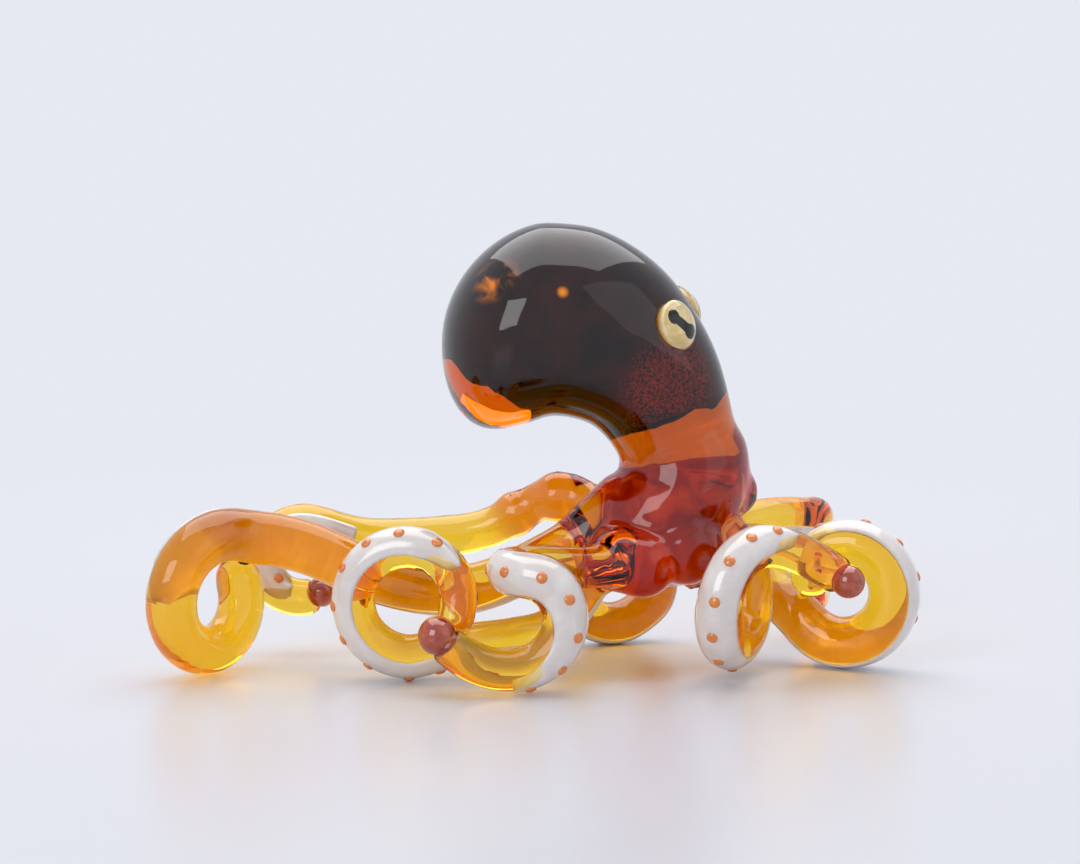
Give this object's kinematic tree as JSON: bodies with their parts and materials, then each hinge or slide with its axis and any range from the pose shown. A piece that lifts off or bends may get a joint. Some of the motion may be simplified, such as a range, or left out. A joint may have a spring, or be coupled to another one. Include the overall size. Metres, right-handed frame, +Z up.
{
  "type": "octopus figurine",
  "caption": "Flameworked glass octopus with a tall leaning head, two slit-pupil eyes and curling arms with white sucker strips, standing on its coils as an ornament.",
  "frame": {"origin": "on the table, under the middle of the figurine's box", "axes": "+X to the picture's right, along the spread of the arms; +Y away from the viewer; +Z up"},
  "size_m": [0.1215, 0.0628, 0.0711],
  "materials": {
    "clear_casing": "gloss",
    "dark_core": "gloss",
    "neck_amber": "gloss",
    "web_red_amber": "gloss",
    "ivory": "gloss",
    "black": "gloss",
    "clear_lens": "gloss",
    "amber": "gloss",
    "white_opal": "gloss",
    "orange_sucker": "gloss",
    "red_bead": "gloss"
  },
  "bodies": {
    "root": {"mantle_casing": "clear_casing", "mantle_core": "dark_core", "neck_core": "neck_amber", "web": "web_red_amber", "eyeball_near": "ivory", "pupil_near": "black", "lens_near": "clear_lens", "eyeball_far": "ivory", "pupil_far": "black", "lens_far": "clear_lens", "arm_left_arch": "amber", "belly_left_arch": "white_opal", "suckers_left_arch": "orange_sucker", "bead_left_arch": "amber", "arm_front_left_ring": "amber", "belly_front_left_ring": "white_opal", "suckers_front_left_ring": "orange_sucker", "bead_front_left_ring": "amber", "arm_front_curl": "amber", "belly_front_curl": "white_opal", "suckers_front_curl": "orange_sucker", "bead_front_curl": "red_bead", "arm_back_left": "amber", "belly_back_left": "white_opal", "suckers_back_left": "orange_sucker", "bead_back_left": "red_bead", "arm_back_ring": "amber", "belly_back_ring": "white_opal", "suckers_back_ring": "orange_sucker", "bead_back_ring": "amber", "arm_front_right_ring": "amber", "belly_front_right_ring": "white_opal", "suckers_front_right_ring": "orange_sucker", "bead_front_right_ring": "red_bead", "arm_right_spiral": "amber", "belly_right_spiral": "white_opal", "suckers_right_spiral": "orange_sucker", "bead_right_spiral": "amber", "arm_back_right": "amber", "belly_back_right": "white_opal", "suckers_back_right": "orange_sucker", "bead_back_right": "amber"}
  },
  "joints": []
}
